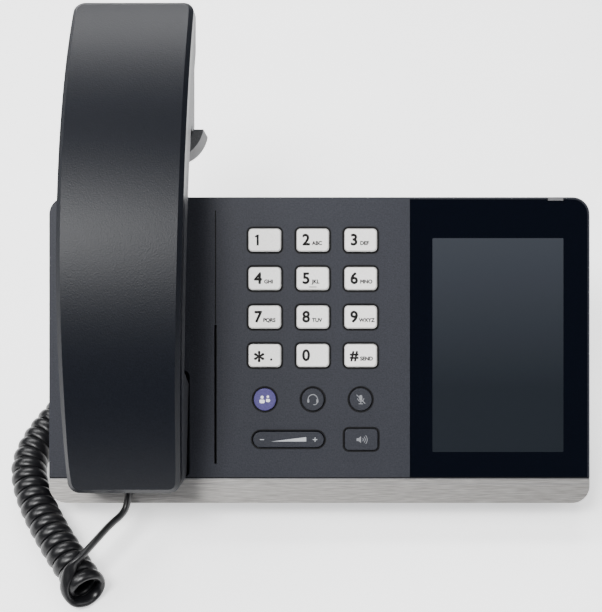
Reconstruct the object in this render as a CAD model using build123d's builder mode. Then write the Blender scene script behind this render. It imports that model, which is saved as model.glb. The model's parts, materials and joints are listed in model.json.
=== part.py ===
"""Desk IP phone: a slab base on a folding stand, its keys, its handset and one curly cord.

Millimetres.  The desk is z = 0, x runs to the right and the face looks forwards and up.
Most sizes are given in the face's own frame: across it, up it from its bottom edge,
and out of it (negative is into the base).
"""
import os
from math import cos, pi, radians, sin, sqrt, tan

from build123d import *

os.makedirs("parts", exist_ok=True)

# Base
TILT = 45.0
FACE_W, FACE_H, CORNER_R = 220.0, 124.5, 7.0
FACE_Y, FACE_Z = -71.27, 13.0
SLAB_T, FRONT_T, WALL, PLATE_T = 16.0, 9.0, 2.5, 3.5
HUMP_LEFT, HUMP_RIGHT, HUMP_LOW, HUMP_HIGH, HUMP_BACK = -57.0, 85.0, 46.0, 118.0, 31.0
STRIP_H, SKIN_T = 10.3, 1.8
GLASS_LEFT, GLASS_RIM = 36.8, 0.8
LCD_X, LCD_W, LCD_LOW, LCD_HIGH = 72.65, 53.3, 20.8, 107.8
SLOT_X, SLOT_W, SLOT_LOW, SLOT_HIGH = -42.3, 1.0, 16.0, 72.5
RECESS_LEFT, RECESS_RIGHT, RECESS_LOW, RECESS_HIGH, RECESS_T = -99.2, -52.8, 10.6, 54.0, 3.0

# Keys
KEY_W, KEY_H, KEY_R, KEY_GAP, KEY_PROUD = 13.2, 9.3, 1.6, 0.5, 0.8
KEY_X0, KEY_PITCH_X, KEY_V0, KEY_PITCH_V = -2.7, 19.5, 107.0, 15.65
ROUND_V, ROUND_R = 42.2, 4.5
LOW_V = 25.9
ROCKER_X, ROCKER_W, ROCKER_H = -12.6, 28.8, 6.2
SPEAKER_X, SPEAKER_W, SPEAKER_H = 17.0, 13.3, 8.4
FLANGE_TOP, FLANGE_T, FLANGE_LIP, STEM_END = 3.8, 0.8, 0.7, 5.6
MAT_TOP, MAT_T, PCB_T = 7.6, 0.8, 1.6

# Handset: an arched bar whose back is an arc in side view
HS_X, ARCH_V, ARCH_H, ARCH_R = -76.0, 83.0, 42.0, 185.0
PARTING, GRIP_T, HS_WALL = 9.0, 20.0, 2.2
HS_LOW, HS_HIGH, HS_END_R, BEVEL = 7.6, 205.0, 4.5, 1.8
MOUTH_HIGH, MOUTH_H = 48.0, -2.4
EAR_LOW, EAR_H, EAR_W, EAR_R = 145.2, -14.0, 48.0, 10.0

# Ear cradle, stand and feet
REST_TOP, REST_WALL, REST_GAP, REST_BACK, REST_FRONT = 152.8, 4.0, 0.6, 30.0, 5.0
ARM_LEFT, ARM_RIGHT, ARM_LOW, ARM_HIGH = -96.0, -60.0, 90.0, 190.0
STAND_V, STAND_H, PIN_R, STAND_T = 104.0, -35.0, 1.5, 4.0
STAND_LEFT, STAND_RIGHT, LEG_W, STAND_REACH = -44.0, 74.0, 12.0, 25.0
FOOT_L, FOOT_W, FOOT_H = 30.0, 5.0, 5.0

# Cord
WIRE_D, COIL_D = 3.2, 15.0

UP = (0, cos(radians(TILT)), sin(radians(TILT)))
OUT = (0, -sin(radians(TILT)), cos(radians(TILT)))
face = Plane(origin=(0, FACE_Y, FACE_Z), x_dir=(1, 0, 0), z_dir=OUT)


def spot(across, up, out):
    """The place in the desk's frame of a point given in the face's frame."""
    return (
        across,
        FACE_Y + up * UP[1] + out * OUT[1],
        FACE_Z + up * UP[2] + out * OUT[2],
    )


def side(across):
    """A plane facing +x, with the face's up as its x and the face's outward way as its y."""
    return Plane(origin=spot(across, 0, 0), x_dir=UP, z_dir=(1, 0, 0))


def block(left, right, low, high, back, front, radius=0, mode=Mode.ADD):
    """A box between limits across, up and out of the face, with rounded corners if asked."""
    with BuildSketch(face.offset(back)) as outline:
        with Locations(((left + right) / 2, (low + high) / 2)):
            if radius:
                RectangleRounded(right - left, high - low, radius)
            else:
                Rectangle(right - left, high - low)
    extrude(outline.sketch, amount=front - back, mode=mode)


def peg(across, up, radius, back, front, mode=Mode.ADD):
    """A round peg or hole square to the face."""
    with BuildSketch(face.offset(back)) as outline:
        with Locations((across, up)):
            Circle(radius)
    extrude(outline.sketch, amount=front - back, mode=mode)


def finish(builder, name):
    """Names a sub-part and writes its file."""
    builder.part.label = name
    export_step(builder.part, f"parts/{name}.step")


COLUMNS = [KEY_X0 + i * KEY_PITCH_X for i in (-1, 0, 1)]
ROWS = [KEY_V0 - i * KEY_PITCH_V for i in range(4)]
DIGITS = ["1", "2", "3", "4", "5", "6", "7", "8", "9", "star", "0", "hash"]
DIGIT_SPOTS = [(x, v) for v in ROWS for x in COLUMNS]
ROUNDS = ["meeting", "headset", "mute"]
CASE_SCREWS = [(-104, 60), (104, 6), (-104, 118), (104, 118), (-36, 119), (-36, 6)]
BOARD_SCREWS = [(-48, 54), (76, 54), (-48, 110), (76, 110)]
BOARD_FRONT = -14.0
BOARD_BACK = BOARD_FRONT - PCB_T

# --- Base shells -------------------------------------------------------------------

with BuildPart() as glass_space:
    rim = GLASS_RIM
    block(-FACE_W / 2 + rim, FACE_W / 2 - rim, rim, FACE_H - rim, -SKIN_T, 0, CORNER_R - rim)
    block(-FACE_W, GLASS_LEFT, 0, FACE_H, -SKIN_T, 0, mode=Mode.SUBTRACT)
    block(-FACE_W, FACE_W, 0, STRIP_H, -SKIN_T, 0, mode=Mode.SUBTRACT)

with BuildPart() as front_cover:
    block(-FACE_W / 2, FACE_W / 2, 0, FACE_H, -FRONT_T, 0, CORNER_R)
    block(
        -FACE_W / 2 + WALL, FACE_W / 2 - WALL, WALL, FACE_H - WALL,
        -FRONT_T, -PLATE_T, CORNER_R - WALL, Mode.SUBTRACT,
    )
    # the floor and walls of the mouthpiece recess stand down behind the face
    block(RECESS_LEFT - 2, RECESS_RIGHT + 2, WALL, RECESS_HIGH + 2, -RECESS_T - 2.2, -PLATE_T)
    for x, v in CASE_SCREWS:
        peg(x, v, 3.4, -FRONT_T, -PLATE_T)
    # recesses for the glass and the strip, and the window behind the glass
    add(glass_space.part, mode=Mode.SUBTRACT)
    block(-FACE_W / 2, FACE_W / 2, 0, STRIP_H, -SKIN_T, 0, mode=Mode.SUBTRACT)
    block(
        LCD_X - LCD_W / 2 - 2, LCD_X + LCD_W / 2 + 2, LCD_LOW - 3, LCD_HIGH + 3,
        -PLATE_T, 0, mode=Mode.SUBTRACT,
    )
    block(
        RECESS_LEFT, RECESS_RIGHT, RECESS_LOW, RECESS_HIGH,
        -RECESS_T, 0, 2.5, Mode.SUBTRACT,
    )
    # key openings
    with BuildSketch(face.offset(-PLATE_T)):
        with Locations(*DIGIT_SPOTS):
            RectangleRounded(KEY_W + 2 * KEY_GAP, KEY_H + 2 * KEY_GAP, KEY_R + KEY_GAP)
        with Locations(*[(x, ROUND_V) for x in COLUMNS]):
            Circle(ROUND_R + KEY_GAP)
        with Locations((ROCKER_X, LOW_V)):
            SlotOverall(ROCKER_W + 2 * KEY_GAP, ROCKER_H + 2 * KEY_GAP)
        with Locations((SPEAKER_X, LOW_V)):
            RectangleRounded(SPEAKER_W + 2 * KEY_GAP, SPEAKER_H + 2 * KEY_GAP, KEY_R + KEY_GAP)
    extrude(amount=PLATE_T, mode=Mode.SUBTRACT)
    # the sound slot, the groove that carries it on, the lamp's notch and the hook hole
    block(
        SLOT_X - SLOT_W / 2, SLOT_X + SLOT_W / 2, SLOT_LOW, SLOT_HIGH,
        -PLATE_T, 0, mode=Mode.SUBTRACT,
    )
    block(SLOT_X - 0.25, SLOT_X + 0.25, SLOT_HIGH, FACE_H - 5, -0.4, 0, mode=Mode.SUBTRACT)
    block(92.8, 99.4, FACE_H - 1.5, FACE_H, -4.5, 0, mode=Mode.SUBTRACT)
    peg(HS_X, 30, 4.0, -RECESS_T - 2.2, 0, Mode.SUBTRACT)
    for x, v in CASE_SCREWS:
        peg(x, v, 1.55, -FRONT_T, -4.2, Mode.SUBTRACT)
finish(front_cover, "front_cover")

STAND_PIN = spot(0, STAND_V, STAND_H)
FOOT_AT = spot(0, 0, -SLAB_T)[1] + FOOT_W / 2

with BuildPart() as rear_cover:
    block(-FACE_W / 2, FACE_W / 2, 0, FACE_H, -SLAB_T, -FRONT_T, CORNER_R)
    block(HUMP_LEFT, HUMP_RIGHT, HUMP_LOW, HUMP_HIGH, -HUMP_BACK, -SLAB_T, 5)
    block(
        -FACE_W / 2 + WALL, FACE_W / 2 - WALL, WALL, FACE_H - WALL,
        -SLAB_T + WALL, -FRONT_T, CORNER_R - WALL, Mode.SUBTRACT,
    )
    block(
        HUMP_LEFT + WALL, HUMP_RIGHT - WALL, HUMP_LOW + WALL, HUMP_HIGH - WALL,
        -HUMP_BACK + WALL, -SLAB_T + WALL, 2.5, Mode.SUBTRACT,
    )
    for x, v in CASE_SCREWS:
        peg(x, v, 3.4, -SLAB_T, -FRONT_T)
        peg(x, v, 1.7, -SLAB_T, -FRONT_T, Mode.SUBTRACT)
        peg(x, v, 3.0, -SLAB_T, -SLAB_T + 2, Mode.SUBTRACT)
    for x, v in BOARD_SCREWS:
        peg(x, v, 3.0, -HUMP_BACK + WALL, BOARD_BACK)
        peg(x, v, 1.35, BOARD_BACK - 9, BOARD_BACK, Mode.SUBTRACT)
    # the four ports in the hump's lower wall and the two in its left wall
    block(37, 53, HUMP_LOW, HUMP_LOW + WALL, BOARD_BACK - 12.8, BOARD_BACK, mode=Mode.SUBTRACT)
    block(17, 33, HUMP_LOW, HUMP_LOW + WALL, BOARD_BACK - 12.8, BOARD_BACK, mode=Mode.SUBTRACT)
    block(-7, 7.5, HUMP_LOW, HUMP_LOW + WALL, BOARD_BACK - 7, BOARD_BACK, mode=Mode.SUBTRACT)
    block(59, 68, HUMP_LOW, HUMP_LOW + WALL, BOARD_BACK - 11, BOARD_BACK, mode=Mode.SUBTRACT)
    for v in (64.0, 84.0):
        block(
            HUMP_LEFT, HUMP_LEFT + WALL, v - 6, v + 6,
            BOARD_BACK - 12, BOARD_BACK, mode=Mode.SUBTRACT,
        )
    # stand lugs, wall-mount holes and vents
    for x in (STAND_LEFT - 5.0, STAND_RIGHT + 0.5):
        with BuildSketch(side(x)):
            with Locations((STAND_V, STAND_H)):
                Circle(4.0)
            with Locations((STAND_V, (STAND_H - HUMP_BACK) / 2)):
                Rectangle(8, -STAND_H - HUMP_BACK)
        extrude(amount=4.5)
    with BuildSketch(Plane(origin=(STAND_LEFT - 5, STAND_PIN[1], STAND_PIN[2]), z_dir=(1, 0, 0))):
        Circle(PIN_R + 0.05)
    extrude(amount=STAND_RIGHT - STAND_LEFT + 10, mode=Mode.SUBTRACT)
    for x in (-26, 54):
        peg(x, 96, 3.5, -HUMP_BACK, -HUMP_BACK + WALL, Mode.SUBTRACT)
    with BuildSketch(face.offset(-HUMP_BACK)):
        with Locations((14, 84)):
            with GridLocations(6, 1, 9, 1):
                SlotOverall(16, 2, rotation=90)
    extrude(amount=WALL, mode=Mode.SUBTRACT)
    # a land at the front edge for the rubber feet
    for x in (-80, 80):
        with BuildSketch(Plane.XY):
            with Locations((x, FOOT_AT)):
                Rectangle(FOOT_L, FOOT_W)
        extrude(amount=FOOT_H, mode=Mode.SUBTRACT)
finish(rear_cover, "rear_cover")

with BuildPart() as front_feet:
    for x in (-80, 80):
        with BuildSketch(Plane.XY):
            with Locations((x, FOOT_AT)):
                Rectangle(FOOT_L, FOOT_W)
        extrude(amount=FOOT_H)
finish(front_feet, "front_feet")

with BuildPart() as trim_strip:
    block(-FACE_W / 2, FACE_W / 2, 0, FACE_H, -SKIN_T, 0, CORNER_R)
    block(-FACE_W, FACE_W, STRIP_H - 0.3, FACE_H + 1, -SKIN_T, 0, mode=Mode.SUBTRACT)
finish(trim_strip, "trim_strip")

with BuildPart() as screen_glass:
    rim = GLASS_RIM + 0.1
    block(-FACE_W / 2 + rim, FACE_W / 2 - rim, rim, FACE_H - rim, -SKIN_T, 0, CORNER_R - rim)
    block(-FACE_W, GLASS_LEFT + 0.1, 0, FACE_H, -SKIN_T, 0, mode=Mode.SUBTRACT)
    block(-FACE_W, FACE_W, 0, STRIP_H + 0.1, -SKIN_T, 0, mode=Mode.SUBTRACT)
    block(92.7, 99.5, FACE_H - 1.6, FACE_H, -SKIN_T, 0, mode=Mode.SUBTRACT)
finish(screen_glass, "screen_glass")

with BuildPart() as message_lamp:
    block(93, 99.2, FACE_H - 1.4, FACE_H, -4.4, 0.3)
finish(message_lamp, "message_lamp")

with BuildPart() as lcd_panel:
    block(
        LCD_X - LCD_W / 2 - 1.7, LCD_X + LCD_W / 2 + 1.7, LCD_LOW - 2.7, LCD_HIGH + 2.7,
        -SKIN_T - 2.4, -SKIN_T,
    )
finish(lcd_panel, "lcd_panel")

with BuildPart() as display_frame:
    block(
        LCD_X - LCD_W / 2 - 4, LCD_X + LCD_W / 2 + 4, LCD_LOW - 5, LCD_HIGH + 5,
        -6.6, -SKIN_T - 2.4,
    )
    block(
        LCD_X - LCD_W / 2 + 4, LCD_X + LCD_W / 2 - 4, LCD_LOW + 4, LCD_HIGH - 4,
        -6.6, -5.4, mode=Mode.SUBTRACT,
    )
finish(display_frame, "display_frame")

# --- Boards and sockets ------------------------------------------------------------

with BuildPart() as main_board:
    block(-53, 81, 49.5, 114.5, BOARD_BACK, BOARD_FRONT)
    for x, v in BOARD_SCREWS:
        peg(x, v, 1.4, BOARD_BACK, BOARD_FRONT, Mode.SUBTRACT)
    for x, v, w, h in ((10, 84, 16, 16), (-16, 88, 12, 14), (44, 90, 10, 12)):
        block(x - w / 2, x + w / 2, v - h / 2, v + h / 2, BOARD_FRONT, BOARD_FRONT + 1.4)
finish(main_board, "main_board")

with BuildPart() as board_screws:
    for x, v in BOARD_SCREWS:
        peg(x, v, 1.3, BOARD_FRONT - 8, BOARD_FRONT)
        peg(x, v, 2.6, BOARD_FRONT, BOARD_FRONT + 1.4)
finish(board_screws, "board_screws")

with BuildPart() as case_screws:
    for x, v in CASE_SCREWS:
        peg(x, v, 1.5, -SLAB_T + 2, -4.6)
        peg(x, v, 2.8, -SLAB_T + 0.2, -SLAB_T + 2)
        peg(x, v, 1.0, -SLAB_T + 0.2, -SLAB_T + 1.2, Mode.SUBTRACT)
finish(case_screws, "case_screws")

PORTS = {
    "lan_port": (37, 53, 12.8, 11.8, 8.2, 14.0),
    "pc_port": (17, 33, 12.8, 11.8, 8.2, 14.0),
    "usb_port": (-7, 7.5, 7.0, 12.6, 5.2, 11.0),
    "power_jack": (59, 68, 11.0, 6.0, 6.0, 9.0),
}
for name, (left, right, high, mouth_w, mouth_h, deep) in PORTS.items():
    middle = (left + right) / 2
    mouth = BOARD_BACK - high / 2
    with BuildPart() as port:
        block(left, right, HUMP_LOW + 0.5, HUMP_LOW + 16.5, BOARD_BACK - high, BOARD_BACK)
        block(
            middle - mouth_w / 2, middle + mouth_w / 2, HUMP_LOW, HUMP_LOW + 0.5 + deep,
            mouth - mouth_h / 2, mouth + mouth_h / 2, mode=Mode.SUBTRACT,
        )
    finish(port, name)

JACK_V = {"handset_socket": 64.0, "headset_socket": 84.0}
JACK_MOUTH = BOARD_BACK - 6.0
for name, v in JACK_V.items():
    with BuildPart() as jack:
        block(HUMP_LEFT + 0.5, HUMP_LEFT + 15, v - 6, v + 6, BOARD_BACK - 12, BOARD_BACK)
        block(
            HUMP_LEFT, HUMP_LEFT + 12.5, v - 4, v + 4,
            JACK_MOUTH - 3.5, JACK_MOUTH + 3.5, mode=Mode.SUBTRACT,
        )
    finish(jack, name)

with BuildPart() as keypad_board:
    block(-33, 28, 18.5, 115, -MAT_TOP - MAT_T - PCB_T, -MAT_TOP - MAT_T, 1)
finish(keypad_board, "keypad_board")

with BuildPart() as keypad_mat:
    block(-32, 27, 19.5, 114, -MAT_TOP - MAT_T, -MAT_TOP, 1)
    for x, v in DIGIT_SPOTS + [(x, ROUND_V) for x in COLUMNS] + [(SPEAKER_X, LOW_V)]:
        peg(x, v, 2.4, -MAT_TOP, -MAT_TOP + 0.7)
finish(keypad_mat, "keypad_mat")

with BuildPart() as loudspeaker:
    block(-50.6, -34.5, 18, 70, -5.6, -PLATE_T, 3)
    block(-49, -36.5, 20, 68, -PLATE_T - 0.9, -PLATE_T, 2, Mode.SUBTRACT)
    block(-49, -36.5, 30, 58, -12.0, -5.6, 3)
finish(loudspeaker, "loudspeaker")

with BuildPart() as base_microphone:
    peg(60, 7.0, 3.0, -8.0, -PLATE_T)
finish(base_microphone, "base_microphone")

# --- Keys --------------------------------------------------------------------------

FLANGE_H = -FLANGE_TOP
for name, (x, v) in zip(DIGITS, DIGIT_SPOTS):
    with BuildPart() as key:
        block(
            x - KEY_W / 2, x + KEY_W / 2, v - KEY_H / 2, v + KEY_H / 2,
            FLANGE_H, KEY_PROUD, KEY_R,
        )
        fillet(faces().sort_by(Axis((0, 0, 0), OUT))[-1].edges(), 0.35)
        block(
            x - KEY_W / 2 - FLANGE_LIP, x + KEY_W / 2 + FLANGE_LIP,
            v - KEY_H / 2 - FLANGE_LIP, v + KEY_H / 2 + FLANGE_LIP,
            FLANGE_H - FLANGE_T, FLANGE_H, KEY_R,
        )
        peg(x, v, 2.0, -STEM_END, FLANGE_H - FLANGE_T)
    finish(key, f"key_{name}")

for name, x in zip(ROUNDS, COLUMNS):
    with BuildPart() as key:
        peg(x, ROUND_V, ROUND_R, FLANGE_H, KEY_PROUD)
        fillet(faces().sort_by(Axis((0, 0, 0), OUT))[-1].edges(), 0.35)
        peg(x, ROUND_V, ROUND_R + FLANGE_LIP, FLANGE_H - FLANGE_T, FLANGE_H)
        peg(x, ROUND_V, 2.0, -STEM_END, FLANGE_H - FLANGE_T)
    finish(key, f"key_{name}")

with BuildPart() as key_speaker:
    block(
        SPEAKER_X - SPEAKER_W / 2, SPEAKER_X + SPEAKER_W / 2,
        LOW_V - SPEAKER_H / 2, LOW_V + SPEAKER_H / 2, FLANGE_H, KEY_PROUD, KEY_R,
    )
    fillet(faces().sort_by(Axis((0, 0, 0), OUT))[-1].edges(), 0.35)
    block(
        SPEAKER_X - SPEAKER_W / 2 - FLANGE_LIP, SPEAKER_X + SPEAKER_W / 2 + FLANGE_LIP,
        LOW_V - SPEAKER_H / 2 - FLANGE_LIP, LOW_V + SPEAKER_H / 2 + FLANGE_LIP,
        FLANGE_H - FLANGE_T, FLANGE_H, KEY_R,
    )
    peg(SPEAKER_X, LOW_V, 2.0, -STEM_END, FLANGE_H - FLANGE_T)
finish(key_speaker, "key_speaker")

with BuildPart() as volume_rocker:
    with BuildSketch(face.offset(FLANGE_H)):
        with Locations((ROCKER_X, LOW_V)):
            SlotOverall(ROCKER_W, ROCKER_H)
    extrude(amount=KEY_PROUD - FLANGE_H)
    fillet(faces().sort_by(Axis((0, 0, 0), OUT))[-1].edges(), 0.35)
    for x in (ROCKER_X - 8.5, ROCKER_X + 8.5):
        peg(x, LOW_V, 1.6, -STEM_END, FLANGE_H)
finish(volume_rocker, "volume_rocker")

# --- Hook --------------------------------------------------------------------------

with BuildPart() as hook_plunger:
    peg(HS_X, 30, 3.6, -7.6, MOUTH_H - 0.35)
    fillet(faces().sort_by(Axis((0, 0, 0), OUT))[-1].edges(), 0.6)
    peg(HS_X, 30, 4.8, -8.2, -7.6)
    peg(HS_X, 30, 2.0, -9.4, -8.2)
finish(hook_plunger, "hook_plunger")

with BuildPart() as hook_spring:
    with BuildLine() as coil:
        Helix(pitch=1.17, height=4.68, radius=2.7, center=spot(HS_X, 30, -13.2), direction=OUT)
    with BuildSketch(Plane(origin=coil.line @ 0, z_dir=coil.line % 0)):
        Circle(0.25)
    sweep(is_frenet=True)
finish(hook_spring, "hook_spring")

with BuildPart() as hook_switch:
    block(HS_X - 14, HS_X - 6, 24, 36, -SLAB_T + WALL, -6.4)
    block(HS_X - 6, HS_X - 3.2, 28.5, 31.5, -SLAB_T + WALL + 0.5, -SLAB_T + WALL + 1.1)
finish(hook_switch, "hook_switch")

# --- Handset -----------------------------------------------------------------------

SPLIT_R = ARCH_R - PARTING
GRIP_R = ARCH_R - GRIP_T


def arch(radius, up):
    """The point at that height up the face on an arc about the arch's centre."""
    return (up, ARCH_H - ARCH_R + sqrt(radius**2 - (up - ARCH_V) ** 2))


def arch_end(radius, inset):
    """How far up the face the arc comes down to the ear cup's underside."""
    return ARCH_V + sqrt(radius**2 - (EAR_H + inset - ARCH_H + ARCH_R) ** 2)


def plan(inset, mode):
    """Cuts the handset to its outline as seen from the front."""
    with BuildSketch(face.offset(-40)) as outline:
        with BuildLine():
            low, high = HS_LOW + inset, HS_HIGH - inset
            left = ThreePointArc(
                (HS_X - 21.7 + inset, low), (HS_X - 24.0 + inset, 120), (HS_X - 24.6 + inset, high)
            )
            right = ThreePointArc(
                (HS_X + 21.7 - inset, low), (HS_X + 24.0 - inset, 120), (HS_X + 24.6 - inset, high)
            )
            Line(left @ 1, right @ 1)
            Line(left @ 0, right @ 0)
        make_face()
        fillet(outline.vertices(), HS_END_R - inset)
    extrude(outline.sketch, amount=100, mode=mode)


def bar(outer_r, inner_r, inset):
    """The arched band between two radii; the inner one opens into the mouth cup."""
    with BuildSketch(side(HS_X - 40)) as profile:
        with BuildLine():
            back = ThreePointArc(
                arch(outer_r, HS_LOW - 2), arch(outer_r, ARCH_V),
                arch(outer_r, arch_end(outer_r, inset)),
            )
            under = ThreePointArc(
                arch(inner_r, arch_end(inner_r, inset)), arch(inner_r, 110),
                arch(inner_r, MOUTH_HIGH + 6),
            )
            Line(back @ 1, under @ 0)
            Polyline(
                under @ 1, (MOUTH_HIGH - inset, MOUTH_H + inset),
                (HS_LOW - 2, MOUTH_H + inset), back @ 0,
            )
        make_face()
    extrude(profile.sketch, amount=80)


def lobe(inset):
    """The ear cup, rounded at its lower corners, as far as the shells' parting arc."""
    with BuildPart() as cup:
        block(
            HS_X - EAR_W / 2 + inset, HS_X + EAR_W / 2 - inset, EAR_LOW + inset, HS_HIGH + 20,
            EAR_H + inset, 30, EAR_R - inset,
        )
        with BuildSketch(side(HS_X - 40)) as profile:
            with BuildLine():
                top = ThreePointArc(
                    arch(SPLIT_R, EAR_LOW - 10), arch(SPLIT_R, 170), arch(SPLIT_R, 201)
                )
                Polyline(top @ 1, (201, -30), (EAR_LOW - 10, -30), top @ 0)
            make_face()
        extrude(profile.sketch, amount=80, mode=Mode.INTERSECT)
    return cup.part


with BuildPart() as back_core:
    with BuildSketch(side(HS_X - 40)) as core_profile:
        with BuildLine():
            core_top = ThreePointArc(
                arch(ARCH_R - HS_WALL, 4), arch(ARCH_R - HS_WALL, ARCH_V), arch(ARCH_R - HS_WALL, 201)
            )
            core_low = ThreePointArc(
                arch(SPLIT_R - 1, 4), arch(SPLIT_R - 1, ARCH_V), arch(SPLIT_R - 1, 201)
            )
            Line(core_top @ 0, core_low @ 0)
            Line(core_top @ 1, core_low @ 1)
        make_face()
    extrude(core_profile.sketch, amount=80)
    plan(HS_WALL, Mode.INTERSECT)

with BuildPart() as handset_back:
    with BuildSketch(side(HS_X - 40)) as back_profile:
        with BuildLine():
            back_top = ThreePointArc(arch(ARCH_R, 4), arch(ARCH_R, ARCH_V), arch(ARCH_R, 208))
            back_low = ThreePointArc(arch(SPLIT_R, 4), arch(SPLIT_R, ARCH_V), arch(SPLIT_R, 206))
            Line(back_top @ 0, back_low @ 0)
            Line(back_top @ 1, back_low @ 1)
        make_face()
    extrude(back_profile.sketch, amount=80)
    plan(0, Mode.INTERSECT)
    block(-140, -20, 0, 220, -60, EAR_H, mode=Mode.SUBTRACT)
    back_face = faces().sort_by(Axis(spot(HS_X, 90, 0), OUT))[-1]
    chamfer(back_face.edges(), BEVEL)
    add(back_core.part, mode=Mode.SUBTRACT)
finish(handset_back, "handset_back")

with BuildPart() as front_core:
    bar(SPLIT_R, GRIP_R + HS_WALL, HS_WALL)
    plan(HS_WALL, Mode.INTERSECT)
    add(lobe(HS_WALL))
    plan(HS_WALL, Mode.INTERSECT)

with BuildPart() as handset_front:
    bar(SPLIT_R, GRIP_R, 0)
    add(lobe(0))
    plan(0, Mode.INTERSECT)
    add(front_core.part, mode=Mode.SUBTRACT)
    # sound holes of the two cups and the mouth of the cord's jack
    with BuildSketch(face.offset(-20)) as holes:
        with Locations((HS_X, 176)):
            with GridLocations(5, 5, 3, 3):
                Circle(0.9)
        with Locations((HS_X - 8, 20)):
            with GridLocations(4, 4, 2, 1):
                Circle(0.7)
    extrude(holes.sketch, amount=21, mode=Mode.SUBTRACT)
    block(HS_X - 7.2, HS_X + 7.2, HS_LOW - 1, HS_LOW + HS_WALL, 2.5, 15, mode=Mode.SUBTRACT)
    # the cup's end stands clear over the strip below its recess
    block(-140, -10, 0, RECESS_LOW + 0.8, -10, 0.8, mode=Mode.SUBTRACT)
finish(handset_front, "handset_front")

with BuildPart() as handset_receiver:
    peg(HS_X, 176, 17, EAR_H + HS_WALL, EAR_H + HS_WALL + 4)
    peg(HS_X, 176, 8, EAR_H + HS_WALL + 4, EAR_H + HS_WALL + 7)
finish(handset_receiver, "handset_receiver")

with BuildPart() as handset_microphone:
    peg(HS_X - 8, 20, 4.8, MOUTH_H + HS_WALL, MOUTH_H + HS_WALL + 2.2)
finish(handset_microphone, "handset_microphone")

with BuildPart() as handset_weight:
    block(HS_X - 14, HS_X + 14, 60, 96, 25.5, 31.5, 2)
finish(handset_weight, "handset_weight")

JACK_H = 8.7
with BuildPart() as handset_jack:
    block(HS_X - 6, HS_X + 6, HS_LOW + HS_WALL, HS_LOW + 16, JACK_H - 5.8, JACK_H + 5.8)
    block(
        HS_X - 4, HS_X + 4, HS_LOW, HS_LOW + 13.5, JACK_H - 3.5, JACK_H + 3.5,
        mode=Mode.SUBTRACT,
    )
finish(handset_jack, "handset_jack")

# --- Ear cradle and stand ----------------------------------------------------------

REST_IN = EAR_W / 2 + REST_GAP
with BuildPart() as ear_cradle:
    with BuildSketch(side(ARM_LEFT)) as arm:
        with BuildLine():
            Polyline(
                (ARM_LOW, -SLAB_T), (FACE_H, -SLAB_T), (ARM_HIGH, -SLAB_T), (ARM_HIGH, -19.5),
                (150, -28), (100, -28), (ARM_LOW, -22), close=True,
            )
        make_face()
    extrude(arm.sketch, amount=ARM_RIGHT - ARM_LEFT)
    with BuildSketch(face.offset(-REST_BACK)) as cradle:
        with Locations((HS_X, EAR_LOW + 30 - REST_GAP - REST_WALL)):
            RectangleRounded(2 * (REST_IN + REST_WALL), 60, EAR_R + REST_GAP + REST_WALL)
    extrude(cradle.sketch, amount=REST_BACK - REST_FRONT)
    block(-140, -10, REST_TOP, 230, -REST_BACK, 0, mode=Mode.SUBTRACT)
    block(
        HS_X - REST_IN, HS_X + REST_IN, EAR_LOW - REST_GAP, EAR_LOW + 70,
        -SLAB_T, 0, EAR_R + REST_GAP, Mode.SUBTRACT,
    )
    block(
        HS_X - REST_IN, HS_X + REST_IN, EAR_LOW - REST_GAP, EAR_LOW + 70,
        -REST_BACK, -SLAB_T - 4, EAR_R + REST_GAP, Mode.SUBTRACT,
    )
    with BuildSketch(side(ARM_LEFT)) as spine:
        with BuildLine():
            Polyline(
                (140, -SLAB_T), (ARM_HIGH, -SLAB_T), (ARM_HIGH, -19.5), (150, -28), (140, -28),
                close=True,
            )
        make_face()
    extrude(spine.sketch, amount=ARM_RIGHT - ARM_LEFT)
finish(ear_cradle, "ear_cradle")

with BuildPart() as cradle_pads:
    for x in (HS_X - 12, HS_X + 12):
        block(x - 3, x + 3, 162, 186, -SLAB_T, EAR_H - 0.4, 2)
    for x in (RECESS_LEFT + 8, RECESS_RIGHT - 8):
        block(x - 2, x + 2, 12, 36, -RECESS_T, MOUTH_H - 0.35, 1.5)
finish(cradle_pads, "cradle_pads")

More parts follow.
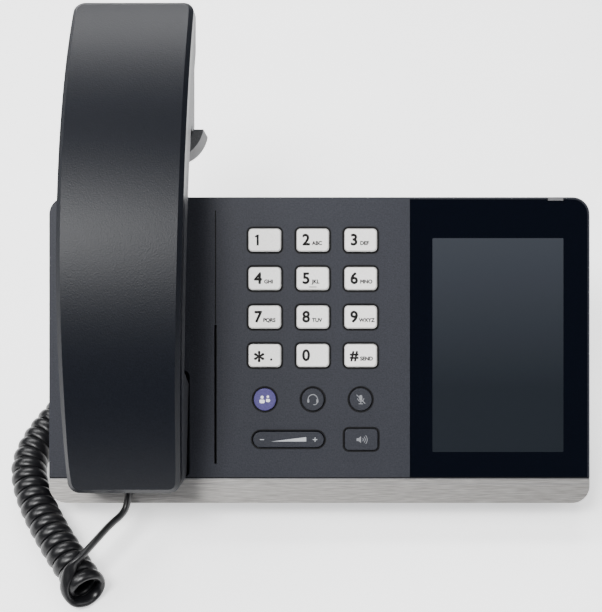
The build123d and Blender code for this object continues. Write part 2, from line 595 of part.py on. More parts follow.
# the stand's leg runs from its pin back and down to its rubber feet
LEG_DROP = STAND_PIN[2] - 1.6
LEG_LEN = sqrt(LEG_DROP**2 + STAND_REACH**2)
leg = Plane(
    origin=(0, STAND_PIN[1], STAND_PIN[2]),
    x_dir=(1, 0, 0),
    z_dir=(0, LEG_DROP / LEG_LEN, STAND_REACH / LEG_LEN),
)
FOOT_Y = STAND_PIN[1] + STAND_REACH
with BuildPart() as stand:
    with BuildSketch(leg.offset(-STAND_T / 2)) as bracket:
        for x in (STAND_LEFT + LEG_W / 2, STAND_RIGHT - LEG_W / 2):
            with Locations((x, LEG_LEN / 2 + 3)):
                Rectangle(LEG_W, LEG_LEN + 6)
        with Locations(((STAND_LEFT + STAND_RIGHT) / 2, LEG_LEN - 6)):
            Rectangle(STAND_RIGHT - STAND_LEFT, 18)
        with Locations(((STAND_LEFT + STAND_RIGHT) / 2, 24)):
            Rectangle(STAND_RIGHT - STAND_LEFT, 7)
    extrude(bracket.sketch, amount=STAND_T)
    for x in (STAND_LEFT, STAND_RIGHT - LEG_W):
        with BuildSketch(Plane(origin=(x, STAND_PIN[1], STAND_PIN[2]), z_dir=(1, 0, 0))) as knuckle:
            Circle(3.6)
        extrude(knuckle.sketch, amount=LEG_W)
    with BuildSketch(Plane(origin=(STAND_LEFT - 1, STAND_PIN[1], STAND_PIN[2]), z_dir=(1, 0, 0))) as bore:
        Circle(PIN_R + 0.05)
    extrude(bore.sketch, amount=STAND_RIGHT - STAND_LEFT + 2, mode=Mode.SUBTRACT)
    with BuildSketch(Plane.XY.offset(-30)) as floor_cut:
        with Locations(((STAND_LEFT + STAND_RIGHT) / 2, FOOT_Y)):
            Rectangle(200, 80)
    extrude(floor_cut.sketch, amount=31.6, mode=Mode.SUBTRACT)
finish(stand, "stand")

with BuildPart() as stand_pins:
    for x in (STAND_LEFT - 4.6, STAND_RIGHT - LEG_W + 0.2):
        with BuildSketch(Plane(origin=(x, STAND_PIN[1], STAND_PIN[2]), z_dir=(1, 0, 0))) as pin:
            Circle(PIN_R)
        extrude(pin.sketch, amount=LEG_W + 4.4)
finish(stand_pins, "stand_pins")

with BuildPart() as stand_feet:
    for x in (STAND_LEFT + 13, STAND_RIGHT - 13):
        with BuildSketch(Plane.XY) as pad:
            with Locations((x, FOOT_Y)):
                Rectangle(22, 3.4)
        extrude(pad.sketch, amount=1.6)
finish(stand_feet, "stand_feet")

# --- Cord --------------------------------------------------------------------------

PLUG_LOW = 7.5
plug_end = spot(HS_X, PLUG_LOW, JACK_H)
socket_end = spot(HUMP_LEFT - 10, JACK_V["handset_socket"], JACK_MOUTH)
COIL_Z = COIL_D / 2 + 0.1
coil_start = (-92.3, FACE_Y - 34.3, COIL_Z)
coil_stop = (-99.0, FACE_Y + 71.4, COIL_Z)


def tube(points, diameter, name):
    """A round tube along straight runs joined by tangent arcs; prints the bend radii."""
    corners = [Vector(*p) for p in points]
    radii = []
    for before, here, after in zip(corners, corners[1:], corners[2:]):
        turn = (here - before).get_angle(after - here)
        run = min((here - before).length, (after - here).length)
        radii.append(0.45 * run / tan(radians(turn) / 2))
    print(name, "bend radii", [round(r, 1) for r in radii])
    with BuildPart() as piece:
        with BuildLine() as path:
            if radii:
                FilletPolyline(*corners, radius=radii)
            else:
                Line(*corners)
        with BuildSketch(Plane(origin=path.line @ 0, z_dir=path.line % 0)):
            Circle(diameter / 2)
        sweep(path=path.wires()[0])
    long = path.wires()[0].length
    share = piece.part.volume / (pi * diameter**2 / 4 * long)
    print(name, "length", round(long, 1), "volume against section by length", round(share, 3))
    finish(piece, name)


with BuildPart() as handset_plug:
    block(
        HS_X - 3.8, HS_X + 3.8, HS_LOW + 1.5, HS_LOW + 13.3, JACK_H - 3.3, JACK_H + 3.3,
    )
    block(HS_X - 3.0, HS_X + 3.0, PLUG_LOW, HS_LOW + 1.5, JACK_H - 2.4, JACK_H + 2.4)
finish(handset_plug, "handset_plug")

with BuildPart() as base_plug:
    block(
        HUMP_LEFT, HUMP_LEFT + 12.3, JACK_V["handset_socket"] - 3.8,
        JACK_V["handset_socket"] + 3.8, JACK_MOUTH - 3.3, JACK_MOUTH + 3.3,
    )
    block(
        HUMP_LEFT - 10, HUMP_LEFT, JACK_V["handset_socket"] - 3, JACK_V["handset_socket"] + 3,
        JACK_MOUTH - 2.4, JACK_MOUTH + 2.4,
    )
finish(base_plug, "base_plug")

tail_bend = spot(HS_X, PLUG_LOW - 11, JACK_H)
tail_dip = (-89.0, FACE_Y - 25.5, 17.4)
tail_stop = (-96.5, FACE_Y - 33.0, COIL_Z)
tube([plug_end, tail_bend, tail_dip, tail_stop], WIRE_D, "handset_tail")
coil_bends = [(-121.5, FACE_Y + 5.4, COIL_Z), (-123.0, FACE_Y + 40.4, COIL_Z)]
tube([coil_start, *coil_bends, coil_stop], COIL_D, "curly_cord")
base_bend = (-88.5, socket_end[1], socket_end[2])
tube([socket_end, base_bend, (-101.4, FACE_Y + 68.2, COIL_Z)], WIRE_D, "base_tail")
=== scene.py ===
"""Desk IP phone on a pale floor: finishes, key printing, icons, the curly cord, light and camera."""
import json
import math

import bpy
from mathutils import Matrix, Vector


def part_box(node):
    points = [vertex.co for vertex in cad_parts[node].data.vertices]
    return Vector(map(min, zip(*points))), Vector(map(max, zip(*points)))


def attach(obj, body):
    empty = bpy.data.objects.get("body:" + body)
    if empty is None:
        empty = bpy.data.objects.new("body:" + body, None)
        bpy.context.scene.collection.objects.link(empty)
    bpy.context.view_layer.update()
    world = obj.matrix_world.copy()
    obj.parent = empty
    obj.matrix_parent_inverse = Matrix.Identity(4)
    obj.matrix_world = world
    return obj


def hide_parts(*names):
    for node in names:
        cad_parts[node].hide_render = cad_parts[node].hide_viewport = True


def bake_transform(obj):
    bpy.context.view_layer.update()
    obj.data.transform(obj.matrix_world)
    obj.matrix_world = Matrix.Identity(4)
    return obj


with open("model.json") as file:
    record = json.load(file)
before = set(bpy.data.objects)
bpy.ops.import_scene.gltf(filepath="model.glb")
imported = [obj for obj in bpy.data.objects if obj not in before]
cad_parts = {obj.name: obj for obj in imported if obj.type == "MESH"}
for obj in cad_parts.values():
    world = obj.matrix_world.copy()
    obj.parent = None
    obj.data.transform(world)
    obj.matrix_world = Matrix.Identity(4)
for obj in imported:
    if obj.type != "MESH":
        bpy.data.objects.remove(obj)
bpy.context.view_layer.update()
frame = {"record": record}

# ------------------------------------------------------------------ the face's own frame
# the handset lifts straight off the face, and the strip's box gives the face's bottom edge
MM = 0.001
joints = {j["name"]: j for j in frame["record"]["behaviour"]["joints"]}
OUT = Vector(joints["handset_lift"]["axis"]).normalized()
ACROSS = Vector((1, 0, 0))
UP = OUT.cross(ACROSS)
SKIN = 1.8 * MM  # how thick the strip is, across the tilted face
strip_low, strip_high = [Vector(c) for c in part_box("trim_strip")]
STRIP_W = (strip_high.z - strip_low.z) / UP.z - SKIN
ORIGIN = Vector((0, strip_low.y, strip_high.z - STRIP_W * UP.z))


def spot(across, up, out=0.0):
    """A point from millimetres across, up and out of the face."""
    return ORIGIN + (ACROSS * across + UP * up + OUT * out) * MM


def centre(node):
    """A node's place on the face, in millimetres across and up."""
    low, high = [Vector(c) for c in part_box(node)]
    middle = ((low + high) / 2 - ORIGIN) / MM
    return middle.x, middle.dot(UP)


# ------------------------------------------------------------------ materials
def material(name, color, rough, metallic=0.0, specular=0.5):
    """A principled material and its node tree and shader."""
    m = bpy.data.materials.new(name)
    m.use_nodes = True
    shader = m.node_tree.nodes["Principled BSDF"]
    shader.inputs["Base Color"].default_value = (*color, 1)
    shader.inputs["Roughness"].default_value = rough
    shader.inputs["Metallic"].default_value = metallic
    shader.inputs["Specular IOR Level"].default_value = specular
    return m, m.node_tree, shader


def grain(tree, shader, scale, strength, distance, stretch=(1, 1, 1), detail=4.0):
    """A noise bump in object space; returns the noise node."""
    coords = tree.nodes.new("ShaderNodeTexCoord")
    mapping = tree.nodes.new("ShaderNodeMapping")
    mapping.inputs["Scale"].default_value = stretch
    noise = tree.nodes.new("ShaderNodeTexNoise")
    noise.inputs["Scale"].default_value = scale
    noise.inputs["Detail"].default_value = detail
    bump = tree.nodes.new("ShaderNodeBump")
    bump.inputs["Strength"].default_value = strength
    bump.inputs["Distance"].default_value = distance
    tree.links.new(coords.outputs["Object"], mapping.inputs["Vector"])
    tree.links.new(mapping.outputs["Vector"], noise.inputs["Vector"])
    tree.links.new(noise.outputs["Fac"], bump.inputs["Height"])
    tree.links.new(bump.outputs["Normal"], shader.inputs["Normal"])
    return noise


def shade_by(tree, noise, shader, socket, stops):
    """Drives a shader's socket from a noise through a colour ramp."""
    ramp = tree.nodes.new("ShaderNodeValToRGB")
    for element, (at, color) in zip(ramp.color_ramp.elements, stops):
        element.position = at
        element.color = (*color, 1)
    tree.links.new(noise.outputs["Fac"], ramp.inputs["Fac"])
    tree.links.new(ramp.outputs["Color"], shader.inputs[socket])


def textured(name, dark, light, rough, scale=2600, strength=0.35, distance=0.00006, **more):
    """A moulded plastic or rubber with a fine even grain."""
    m, tree, shader = material(name, light, rough, **more)
    noise = grain(tree, shader, scale, strength, distance)
    shade_by(tree, noise, shader, "Base Color", [(0.35, dark), (0.65, light)])
    return m


housing = textured(
    "housing", (0.0132, 0.0143, 0.0192), (0.0212, 0.0228, 0.0300), 0.55,
    scale=1900, strength=0.6, distance=0.0001, specular=0.2,
)
shell = textured(
    "shell", (0.0019, 0.0026, 0.0048), (0.0034, 0.0044, 0.0074), 0.38,
    scale=1700, strength=0.6, distance=0.0001, specular=0.15,
)
under = textured("under", (0.018, 0.019, 0.023), (0.028, 0.029, 0.034), 0.5, specular=0.3)
# the ear cradle, painted lighter than the housing: painted light from above
cradle_painted_light = textured(
    "cradle_painted_light", (0.085, 0.086, 0.090), (0.120, 0.121, 0.126), 0.55, specular=0.12,
)
white_key = textured(
    "white_key", (0.74, 0.73, 0.71), (0.82, 0.81, 0.79), 0.42, scale=1500, strength=0.1,
)
violet_key = textured(
    "violet_key", (0.040, 0.033, 0.118), (0.056, 0.046, 0.155), 0.5,
    specular=0.3, scale=1500, strength=0.1,
)
rubber = textured("rubber", (0.012, 0.012, 0.013), (0.022, 0.022, 0.023), 0.8)
silicone = textured("silicone", (0.30, 0.30, 0.31), (0.4, 0.4, 0.41), 0.7)
# black plastic; the same finish is laid as painted shade in the gaps round the keys and on the
# groove's floor
black_plastic_and_shade = textured(
    "black_plastic_and_shade", (0.004, 0.004, 0.0045), (0.007, 0.007, 0.008), 0.6, specular=0.12,
)
board = textured("board", (0.008, 0.07, 0.025), (0.012, 0.11, 0.04), 0.4, scale=300)
jacket = textured(
    "jacket", (0.003, 0.003, 0.0036), (0.0055, 0.0055, 0.0065), 0.33,
    strength=0.25, specular=0.3,
)
lamp = textured("lamp", (0.08, 0.08, 0.085), (0.12, 0.12, 0.125), 0.35, strength=0.1)
steel = textured("steel", (0.42, 0.42, 0.43), (0.55, 0.55, 0.56), 0.32, metallic=1.0, strength=0.1)
gold = textured("gold", (0.55, 0.38, 0.12), (0.7, 0.5, 0.2), 0.25, metallic=1.0, strength=0.05)
smoke = textured("smoke", (0.02, 0.02, 0.022), (0.03, 0.03, 0.033), 0.15, strength=0.05)
print_dark = textured(
    "print_dark", (0.006, 0.005, 0.005), (0.010, 0.009, 0.009), 0.6,
    strength=0.05, specular=0.1,
)
# grey laid on the white keys as painted shade: round the edges of their tops and on the tactile bar
key_painted_shade = textured("key_painted_shade", (0.30, 0.295, 0.285), (0.36, 0.355, 0.345), 0.5, strength=0.05)
print_dim = textured("print_dim", (0.15, 0.155, 0.17), (0.19, 0.195, 0.21), 0.5, strength=0.05)
print_grey = textured("print_grey", (0.30, 0.31, 0.33), (0.38, 0.39, 0.41), 0.5, strength=0.05)
print_white = textured("print_white", (0.70, 0.70, 0.74), (0.8, 0.8, 0.84), 0.5, strength=0.05)
glass, glass_tree, glass_shader = material("glass", (0.0012, 0.0018, 0.004), 0.06, specular=0.12)
grain(glass_tree, glass_shader, 60, 0.01, 0.00001)

# the strip's brushing runs across the face
brushed, tree, shader = material("brushed", (0.55, 0.53, 0.5), 0.34, metallic=0.85)
noise = grain(tree, shader, 4200, 0.3, 0.00003, stretch=(0.03, 1, 1))
shade_by(tree, noise, shader, "Base Color", [(0.36, (0.40, 0.38, 0.36)), (0.64, (0.68, 0.66, 0.63))])

# the dark display, which is off, with a painted reflection: a little lighter towards its top, and
# glowing faintly in that colour
screen, tree, shader = material("screen", (0.02, 0.02, 0.025), 0.3, specular=0.1)
coords = tree.nodes.new("ShaderNodeTexCoord")
split = tree.nodes.new("ShaderNodeSeparateXYZ")
ramp = tree.nodes.new("ShaderNodeValToRGB")
ramp.color_ramp.elements[0].position = 0.3
ramp.color_ramp.elements[0].color = (0.008, 0.010, 0.013, 1)
ramp.color_ramp.elements[1].color = (0.022, 0.025, 0.031, 1)
tree.links.new(coords.outputs["Generated"], split.inputs["Vector"])
tree.links.new(split.outputs["Y"], ramp.inputs["Fac"])
tree.links.new(ramp.outputs["Color"], shader.inputs["Base Color"])
tree.links.new(ramp.outputs["Color"], shader.inputs["Emission Color"])
shader.inputs["Emission Strength"].default_value = 0.3

# one finish for each material slot, and two parts that differ from their slot's
FINISHES = {
    "housing": housing, "handset_shell": shell, "strip_metal": brushed, "screen_glass": glass,
    "lamp": lamp, "lcd": black_plastic_and_shade, "sheet_steel": steel, "circuit_board": board,
    "screw_steel": steel, "socket_plastic": black_plastic_and_shade, "silicone": silicone,
    "rubber": rubber, "key_white": white_key, "key_violet": violet_key,
    "cord_jacket": jacket, "plug_clear": smoke,
}
slots = {s["node"]: s["material_slot"] for s in frame["record"]["subparts"]}
for name, slot in slots.items():
    node = bpy.data.objects[name]
    node.data.materials.clear()
    node.data.materials.append(FINISHES[slot])
bpy.data.objects["handset_front"].data.materials[0] = under
# the ear cradle's lighter grey is painted light
bpy.data.objects["ear_cradle"].data.materials[0] = cradle_painted_light

# ------------------------------------------------------------------ the cord
# a flat cord wound on a round axis that lies on the desk, with straight tails at both ends
COIL = 15.0 * MM
WIRE_W, WIRE_T, WIRE_SIDES = 5.1 * MM, 2.9 * MM, 20
PITCH = 5.4 * MM
TURN_POINTS, CURL_POINTS = 12, 4
AXIS_STEPS, CORD_STEPS = 60, 6
HELIX_R = (COIL - WIRE_T) / 2
COIL_Z = 7.6
FACE_Y = ORIGIN.y


def place(x, y, z):
    """A point beside the phone, in millimetres, with y counted from the face's bottom edge."""
    return Vector((x * MM, FACE_Y + y * MM, z * MM))


def nurbs(name, points):
    """A smooth open curve with those control points."""
    curve = bpy.data.curves.new(name, "CURVE")
    curve.dimensions = "3D"
    spline = curve.splines.new("NURBS")
    spline.points.add(len(points) - 1)
    for control, point in zip(spline.points, points):
        control.co = (*point, 1)
    spline.order_u = 3
    spline.use_endpoint_u = True
    return curve


def line_of(points, resolution):
    """Points along the smooth curve with those control points."""
    curve = nurbs("route", points)
    curve.resolution_u = resolution
    holder = bpy.data.objects.new("route", curve)
    mesh = bpy.data.meshes.new_from_object(holder)
    line = [v.co.copy() for v in mesh.vertices]
    bpy.data.meshes.remove(mesh)
    bpy.data.curves.remove(curve)
    return line


# the coil's axis, from its front end back along the base's left side
route = [
    place(-91, -36.1, COIL_Z), place(-121.5, 5.4, COIL_Z),
    place(-123, 40.4, COIL_Z), place(-99, 71.4, COIL_Z),
]
axis_line = line_of(route, AXIS_STEPS)
along = [0.0]
for a, b in zip(axis_line, axis_line[1:]):
    along.append(along[-1] + (b - a).length)
turns = round(along[-1] / PITCH)
steps = turns * TURN_POINTS
inside = math.cos(math.pi / TURN_POINTS)  # how far inside its guide points the curve runs


def coil_point(i):
    """The i-th guide point of the coil; negative ones carry its front turn on into the tail."""
    want = along[-1] * i / steps
    leg = max([n for n in range(len(axis_line) - 1) if along[n] <= want], default=0)
    share = (want - along[leg]) / (along[leg + 1] - along[leg])
    heading = (axis_line[leg + 1] - axis_line[leg]).normalized()
    middle = axis_line[leg] + (axis_line[leg + 1] - axis_line[leg]) * share
    right = heading.cross(Vector((0, 0, 1)))
    turn = 2 * math.pi * i / TURN_POINTS
    arm = right * math.cos(turn) + Vector((0, 0, 1)) * math.sin(turn)
    return middle + arm * HELIX_R / inside


helix = [coil_point(i) for i in range(steps + 1)]
curl = [coil_point(i) for i in range(-CURL_POINTS, 0)]
plug_low, plug_high = [Vector(c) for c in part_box("base_plug")]
socket = Vector((plug_low.x, (plug_low.y + plug_high.y) / 2, (plug_low.z + plug_high.z) / 2))
SOCKET_LEAD = 16
plug_end = spot(-76, 7.5, 8.7)
# the tail from the handset's plug down and round into the coil's front turn
tail_points = [
    plug_end, spot(-76.9, 1.0, 8.9), place(-78.6, -9.3, 18.3), place(-83.0, -14.4, 18.6),
    place(-87.2, -21.0, 18.6), place(-91.9, -27.9, 18.2), place(-97.4, -34.2, 15.4),
    place(-100.0, -38.6, 8.8), place(-96.8, -40.8, 3.8), *curl,
]
# the tail from the coil's back end up to the socket in the base's side
rise = [
    place(-92.8, 70.0, 13.0), place(-91.2, 71.2, 22.0), place(-90.0, 67.0, 34.0),
    socket - ACROSS * SOCKET_LEAD * MM, socket,
]
# the whole cord is one smooth line, cut in its first sixth where it is nearest to the helix's start
cord_line = line_of(tail_points + helix + rise, CORD_STEPS)
first_part = range(len(cord_line) // 6)
join = min(first_part, key=lambda i: (cord_line[i] - helix[0]).length)
front_heading = (axis_line[1] - axis_line[0]).normalized()
back_heading = (axis_line[-1] - axis_line[-2]).normalized()
# counted in points of the coil's axis, and then lengths along the tail
LOOK_EVERY, LOOK_ROUND, FRONT_END, BACK_END = 4, 3, 8, 12
TWIST_FROM, TWIST_OVER = 26 * MM, 14 * MM


def coil_way(point):
    """The way the flat cord's broad side lies in the coil: along the coil's own axis nearby."""
    looked_at = range(0, len(axis_line), LOOK_EVERY)
    near = min(looked_at, key=lambda i: (axis_line[i] - point).length)
    if near < FRONT_END:
        return front_heading
    if near > len(axis_line) - BACK_END:
        return back_heading
    return (axis_line[near + LOOK_ROUND] - axis_line[near - LOOK_ROUND]).normalized()


def tail_way(left):
    """The same for the tail, which twists as the length left to the coil grows."""
    return front_heading.lerp(OUT, min(1, max(0, (left - TWIST_FROM) / TWIST_OVER)))


def length_of(line):
    """The length of a line through its points."""
    return sum((b - a).length for a, b in zip(line, line[1:]))


def mesh_piece(name, verts, faces, finish):
    """A visible mesh with one material."""
    mesh = bpy.data.meshes.new(name)
    mesh.from_pydata(verts, [], faces)
    thing = bpy.data.objects.new(name, mesh)
    bpy.context.collection.objects.link(thing)
    mesh.materials.append(finish)
    return thing


def flat_tube(name, line, broad_ways):
    """A closed tube of flat oval section about a line, its broad side the way given at each point."""
    verts, faces = [], []
    for i, point in enumerate(line):
        ahead = (line[min(i + 1, len(line) - 1)] - line[max(i - 1, 0)]).normalized()
        broad = (broad_ways[i] - ahead * broad_ways[i].dot(ahead)).normalized()
        thin = ahead.cross(broad)
        for k in range(WIRE_SIDES):
            a = 2 * math.pi * k / WIRE_SIDES
            offset = broad * math.cos(a) * WIRE_W / 2 + thin * math.sin(a) * WIRE_T / 2
            verts.append(point + offset)
    for i in range(len(line) - 1):
        here, after = i * WIRE_SIDES, (i + 1) * WIRE_SIDES
        for k in range(WIRE_SIDES):
            n = (k + 1) % WIRE_SIDES
            faces.append((here + k, here + n, after + n, after + k))
    faces.append(tuple(reversed(range(WIRE_SIDES))))
    faces.append(tuple(range((len(line) - 1) * WIRE_SIDES, len(line) * WIRE_SIDES)))
    thing = mesh_piece(name, verts, faces, jacket)
    thing.data.polygons.foreach_set("use_smooth", [True] * len(thing.data.polygons))
    return thing


# the coil runs from the tail to the base's socket, and the tail goes with the handset
coil_line, tail_line = cord_line[join:], cord_line[:join + 1]
coil = flat_tube("cord_coil", coil_line, [coil_way(point) for point in coil_line])
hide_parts("curly_cord", "base_tail")
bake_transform(coil)
left_over = [length_of(tail_line[i:]) for i in range(len(tail_line))]
tail = flat_tube("cord_tail", tail_line, [tail_way(left) for left in left_over])
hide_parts("handset_tail")
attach(tail, "handset")

# ------------------------------------------------------------------ flat printing and painted shade on the face
def flat_mesh(name, shapes, height, finish, body):
    """Thin flat shapes: print, painted shade and other flat pieces; each is a list of (across, up)
    corners in millimetres.
    """
    verts, faces = [], []
    for shape in shapes:
        start = len(verts)
        verts += [spot(x, v, height) for x, v in shape]
        faces.append(tuple(range(start, len(verts))))
    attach(mesh_piece(name, verts, faces, finish), body)


def disc(x, v, radius, sides=28):
    """The corners of a disc about a centre."""
    angles = [2 * math.pi * k / sides for k in range(sides)]
    return [(x + radius * math.cos(a), v + radius * math.sin(a)) for a in angles]


def stroke(points, width):
    """A line of that width through the points, as one quad for each straight run."""
    shapes = []
    for (x0, v0), (x1, v1) in zip(points, points[1:]):
        long = math.hypot(x1 - x0, v1 - v0)
        dx, dv = -(v1 - v0) / long * width / 2, (x1 - x0) / long * width / 2
        shapes.append(
            [(x0 + dx, v0 + dv), (x0 - dx, v0 - dv), (x1 - dx, v1 - dv), (x1 + dx, v1 + dv)]
        )
    return shapes


def arc(x, v, radius, start, stop, width, sides=18):
    """A stroke along an arc, angles in degrees."""
    angles = [math.radians(start + (stop - start) * k / sides) for k in range(sides + 1)]
    large, small = radius + width / 2, radius - width / 2
    outer = [(x + large * math.cos(a), v + large * math.sin(a)) for a in angles]
    inner = [(x + small * math.cos(a), v + small * math.sin(a)) for a in angles]
    return [[outer[k], outer[k + 1], inner[k + 1], inner[k]] for k in range(sides)]


def rounded(x, v, width, height, radius, sides=6):
    """The corners of a rounded rectangle about a centre."""
    points = []
    for quarter, (sx, sv) in enumerate(((1, 1), (-1, 1), (-1, -1), (1, -1))):
        cx, cv = x + sx * (width / 2 - radius), v + sv * (height / 2 - radius)
        for k in range(sides + 1):
            a = math.pi / 2 * (quarter + k / sides)
            points.append((cx + radius * math.cos(a), cv + radius * math.sin(a)))
    return points


def ring(inner, outer):
    """Quads between two outlines that have the same number of corners."""
    n = len(inner)
    return [[outer[k], outer[(k + 1) % n], inner[(k + 1) % n], inner[k]] for k in range(n)]


def lettering(name, text, size, x, v, body, weight):
    """Generic printed characters on a key, thickened by copies moved all round by weight (mm)."""
    curve = bpy.data.curves.new(name, "FONT")
    curve.body = text
    curve.size = size * MM
    curve.align_y = "CENTER"
    holder = bpy.data.objects.new(name, curve)
    flat = bpy.data.meshes.new_from_object(holder)
    corners = [c.co.copy() for c in flat.vertices]
    tiles = [tuple(p.vertices) for p in flat.polygons]
    bpy.data.meshes.remove(flat)
    bpy.data.curves.remove(curve)
    verts, faces = [], []
    for k in range(COPIES):
        a = 2 * math.pi * k / COPIES
        base = spot(x + weight * math.cos(a), v + weight * math.sin(a), INK + COPY_LIFT * k)
        faces += [tuple(i + len(verts) for i in tile) for tile in tiles]
        verts += [base + ACROSS * c.x + UP * c.y for c in corners]
    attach(mesh_piece(name, verts, faces, print_dark), body)


def painted_gap_shade(name, outline, clear):
    """Painted shade in the gap round a key: a dark sheet down inside the hole, and a dark band over
    its rounded-off edge.

    outline(wide) gives the key's corners, grown by wide all round; the gap starts at clear.
    """
    inner, middle, outer = outline(clear), outline(GAP), outline(GAP + EDGE)
    well, lip = ring(inner, middle), ring(middle, outer)
    flat_mesh(f"well_{name}", well, WELL_H, black_plastic_and_shade, "base")
    flat_mesh(f"lip_{name}", lip, LIP_H, black_plastic_and_shade, "base")


# sizes in millimetres, as in the CAD, and heights out of the face
PROUD = 0.8
INK = PROUD + 0.02
KEY_W, KEY_H, KEY_R = 13.2, 9.3, 1.6
ROUND_R, ROUND_SIDES = 4.5, 40
SPEAKER_W, SPEAKER_H, SPEAKER_R = 13.3, 8.4, 1.6
ROCKER_W, ROCKER_H, ROCKER_R = 28.8, 6.2, 3.08
GAP, EDGE, CLEAR, ROCKER_CLEAR = 0.5, 0.42, 0.12, 0.32
WELL_H, LIP_H = -0.35, 0.015
TOP_IN, RIM_LEFT, RIM_UP, RIM_W, RIM_H, RIM_R = 0.02, 0.13, 0.11, 0.74, 0.68, 0.32
COPIES, COPY_LIFT = 8, 0.002
SIGN_LEFT, SIGN_SIZE, SIGN_WEIGHT = 4.3, 6.3, 0.24
LETTER_LOW, LETTER_SIZE, LETTER_WEIGHT = 1.3, 2.1, 0.11
LETTERS = {
    "1": "", "2": "ABC", "3": "DEF", "4": "GHI", "5": "JKL", "6": "MNO", "7": "PQRS", "8": "TUV",
    "9": "WXYZ", "star": "", "0": "", "hash": "SEND",
}
SIGNS = {"star": "*", "hash": "#"}
for key, letters in LETTERS.items():
    x, v = centre(f"key_{key}")
    body = f"body_key_{key}"
    sign = SIGNS.get(key, key)
    drop = -2.3 if key == "star" else -0.1
    size = {"star": 9.5, "hash": 5.5}.get(key, SIGN_SIZE)
    # the 1 is drawn, as the font's own is too thin
    if key == "1":
        one = stroke([(x - 2.9, v - 2.25), (x - 2.9, v + 2.25)], 0.95)
        one += stroke([(x - 2.9, v + 1.9), (x - 4.0, v + 1.3)], 0.7)
        flat_mesh("sign_1", one, INK, print_dark, body)
    else:
        lettering(f"sign_{key}", sign, size, x - SIGN_LEFT, v + drop, body, SIGN_WEIGHT)
    if key == "star":
        flat_mesh("letters_star", [disc(x + 2.6, v - 1.6, 0.5)], INK, print_dark, body)
    elif letters:
        shift = 0.7 if key in ("7", "9") else 0.3
        left, low = x - shift, v - LETTER_LOW
        lettering(f"letters_{key}", letters, LETTER_SIZE, left, low, body, LETTER_WEIGHT)
    # painted shade along the edge of the key's top, broader at its right and its bottom
    rim = ring(
        rounded(x - RIM_LEFT, v + RIM_UP, KEY_W - RIM_W, KEY_H - RIM_H, KEY_R - RIM_R),
        rounded(x, v, KEY_W - 2 * TOP_IN, KEY_H - 2 * TOP_IN, KEY_R - TOP_IN),
    )
    flat_mesh(f"rim_{key}", rim, PROUD + 0.01, key_painted_shade, body)
    # the tactile bar's grey is painted shade
    if key == "5":
        bar = [rounded(x, v - 3.4, 3.2, 0.5, 0.24)]
        flat_mesh("tactile_bar", bar, PROUD + 0.12, key_painted_shade, body)
    painted_gap_shade(
        key, lambda wide: rounded(x, v, KEY_W + 2 * wide, KEY_H + 2 * wide, KEY_R + wide), CLEAR
    )

for key in ("meeting", "headset", "mute"):
    x, v = centre(f"key_{key}")
    painted_gap_shade(key, lambda wide: disc(x, v, ROUND_R + wide, ROUND_SIDES), CLEAR)

# the meeting key has a generic sign of two people
x, v = centre("key_meeting")
people = [
    disc(x - 1.1, v + 0.9, 0.62), rounded(x - 1.1, v - 0.75, 2.1, 1.5, 0.6),
    disc(x + 1.25, v + 1.15, 0.5), rounded(x + 1.3, v - 0.4, 1.6, 1.3, 0.5),
]
flat_mesh("icon_meeting", people, INK, print_white, "body_key_meeting")

x, v = centre("key_headset")
headset = arc(x, v + 0.1, 1.9, -15, 195, 0.34)
headset += [rounded(x - 1.85, v - 0.55, 0.8, 1.5, 0.35), rounded(x + 1.85, v - 0.55, 0.8, 1.5, 0.35)]
headset += stroke([(x + 1.9, v - 1.2), (x + 1.3, v - 2.0), (x + 0.2, v - 2.15)], 0.28)
flat_mesh("icon_headset", headset, INK, print_dim, "body_key_headset")

x, v = centre("key_mute")
mute = [rounded(x, v + 0.65, 1.2, 2.3, 0.58)] + arc(x, v + 0.5, 1.25, 180, 360, 0.26)
mute += stroke([(x, v - 0.75), (x, v - 1.7)], 0.28)
mute += stroke([(x - 0.9, v - 1.75), (x + 0.9, v - 1.75)], 0.28)
flat_mesh("icon_mute", mute, INK, print_dim, "body_key_mute")
slash = stroke([(x - 1.7, v + 1.9), (x + 1.8, v - 1.7)], 0.3)
flat_mesh("icon_mute_slash", slash, INK + 0.02, print_dim, "body_key_mute")

x, v = centre("key_speaker")
sound = [[
    (x - 1.9, v + 0.55), (x - 1.9, v - 0.55), (x - 1.1, v - 0.55),
    (x - 0.1, v - 1.4), (x - 0.1, v + 1.4), (x - 1.1, v + 0.55),
]]
for radius in (0.9, 1.7, 2.5):
    sound += arc(x - 0.1, v, radius, -42, 42, 0.26)
flat_mesh("icon_speaker", sound, INK, print_dim, "body_key_speaker")
painted_gap_shade(
    "speaker",
    lambda wide: rounded(x, v, SPEAKER_W + 2 * wide, SPEAKER_H + 2 * wide, SPEAKER_R + wide),
    CLEAR,
)

x, v = centre("volume_rocker")
volume = stroke([(x - 11.6, v), (x - 9.9, v)], 0.3) + stroke([(x + 9.9, v), (x + 11.7, v)], 0.3)
volume += stroke([(x + 10.8, v - 0.9), (x + 10.8, v + 0.9)], 0.3)
volume += [[(x - 7.0, v - 0.75), (x + 7.2, v - 0.75), (x + 7.2, v + 1.0)]]
flat_mesh("icon_volume", volume, INK, print_grey, "rocker")
painted_gap_shade(
    "rocker",
    lambda wide: rounded(x, v, ROCKER_W + 2 * wide, ROCKER_H + 2 * wide, ROCKER_R + wide),
    ROCKER_CLEAR,
)

# the display's picture area, with the screen's painted reflection and faint glow
x, v = centre("lcd_panel")
PICTURE_W, PICTURE_H, PICTURE_R, PICTURE_LIFT = 53.3, 87.0, 0.4, 0.04
picture = [rounded(x, v, PICTURE_W, PICTURE_H, PICTURE_R)]
flat_mesh("picture", picture, PICTURE_LIFT, screen, "base")

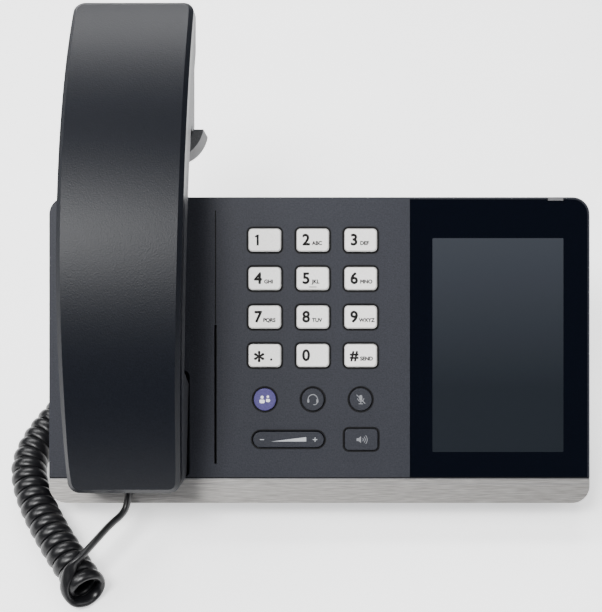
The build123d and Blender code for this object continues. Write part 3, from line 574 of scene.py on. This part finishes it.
# the seam above the strip and the strip's bevel and line, placed from the strip's top edge
for name, above, width, height, radius, lift, finish, slot in (
    ("seam", 0.25, 219.6, 0.5, 0.1, 0.02, black_plastic_and_shade, "housing"),
    ("edge", -0.2, 219.4, 0.3, 0.1, 0.03, steel, "strip_metal"),
    ("line", -2.2, 218.8, 0.16, 0.05, 0.02, print_dim, "strip_metal"),
):
    stripe = [rounded(0, STRIP_W / MM + above, width, height, radius)]
    flat_mesh(f"strip_{name}", stripe, lift, finish, "base")

# the cloth behind the sound slot, and painted shade on the floor of the groove above it
SLOT_X, CLOTH_H, GROOVE_H = -42.3, -2.8, -0.36
cloth = [rounded(SLOT_X, 44.2, 1.0, 56.5, 0.4)]
flat_mesh("sound_cloth", cloth, CLOTH_H, black_plastic_and_shade, "base")
groove = [rounded(SLOT_X, 96.0, 0.44, 46.0, 0.1)]
flat_mesh("groove_painted_shade", groove, GROOVE_H, black_plastic_and_shade, "base")

# gold contacts in the two network sockets
CONTACTS, CONTACT_PITCH, CONTACT_W, CONTACT_L = 8, 1.02, 0.4, 4.0
CONTACT_LOW, CONTACT_H = 7.5, -18.4
for node in ("lan_port", "pc_port"):
    x, v = centre(node)
    low, high = v - CONTACT_LOW, v - CONTACT_LOW + CONTACT_L
    bars = []
    for k in range(CONTACTS):
        at = x + (k - (CONTACTS - 1) / 2) * CONTACT_PITCH
        left, right = at - CONTACT_W / 2, at + CONTACT_W / 2
        bars.append([(left, low), (right, low), (right, high), (left, high)])
    flat_mesh(f"contacts_{node}", bars, CONTACT_H, gold, "base")

# ------------------------------------------------------------------ floor, light and camera
FLOOR = 3.0
floor_corners = [(-FLOOR, -FLOOR, 0), (FLOOR, -FLOOR, 0), (FLOOR, FLOOR, 0), (-FLOOR, FLOOR, 0)]
floor_mesh = bpy.data.meshes.new("floor")
floor_mesh.from_pydata(floor_corners, [], [(0, 1, 2, 3)])
floor = bpy.data.objects.new("floor", floor_mesh)
bpy.context.collection.objects.link(floor)
pale, tree, shader = material("pale", (0.86, 0.86, 0.86), 0.7, specular=0.1)
noise = grain(tree, shader, 12, 0.01, 0.0001)
shade_by(tree, noise, shader, "Base Color", [(0.3, (0.85, 0.85, 0.85)), (0.7, (0.88, 0.88, 0.88))])
shader.inputs["Emission Color"].default_value = (1, 1, 1, 1)
shader.inputs["Emission Strength"].default_value = 0.95
floor_mesh.materials.append(pale)

world = bpy.data.worlds.new("studio")
bpy.context.scene.world = world
world.use_nodes = True
sky = world.node_tree.nodes["Background"]
sky.inputs["Color"].default_value = (0.9, 0.93, 1, 1)
sky.inputs["Strength"].default_value = 0.2


def softbox(name, place_at, size, power, aim):
    """A large rectangular light aimed at a point."""
    light = bpy.data.lights.new(name, "AREA")
    light.shape = "RECTANGLE"
    light.size, light.size_y = size
    light.energy = power
    thing = bpy.data.objects.new(name, light)
    bpy.context.collection.objects.link(thing)
    thing.location = place_at
    thing.rotation_euler = (aim - place_at).to_track_quat("-Z", "Y").to_euler()


# the picture's centre on the face, and the view straight at the face
middle = spot(-7.5, 80.2)
softbox("key", middle + OUT * 1.0 + UP * 0.36 - ACROSS * 0.34, (0.4, 0.38), 19, middle)
softbox("left", middle + Vector((-0.85, -0.15, 0.85)), (0.6, 0.4), 9, middle)
softbox("back", middle + Vector((-0.15, 0.75, 0.85)), (1.3, 0.4), 22, middle)
softbox("fill", middle + Vector((0.9, -0.3, 0.9)), (0.7, 0.7), 6, middle)

DISTANCE, VIEW_H, SENSOR = 0.520, 0.2491, 24
camera_data = bpy.data.cameras.new("camera")
camera_data.sensor_fit = "VERTICAL"
camera_data.sensor_height = SENSOR
camera_data.lens = SENSOR * DISTANCE / VIEW_H
camera_data.clip_start = 0.01
camera = bpy.data.objects.new("camera", camera_data)
bpy.context.collection.objects.link(camera)
camera.matrix_world = (
    Matrix.Translation(middle + OUT * DISTANCE) @ Matrix((ACROSS, UP, OUT)).transposed().to_4x4()
)
bpy.context.scene.camera = camera
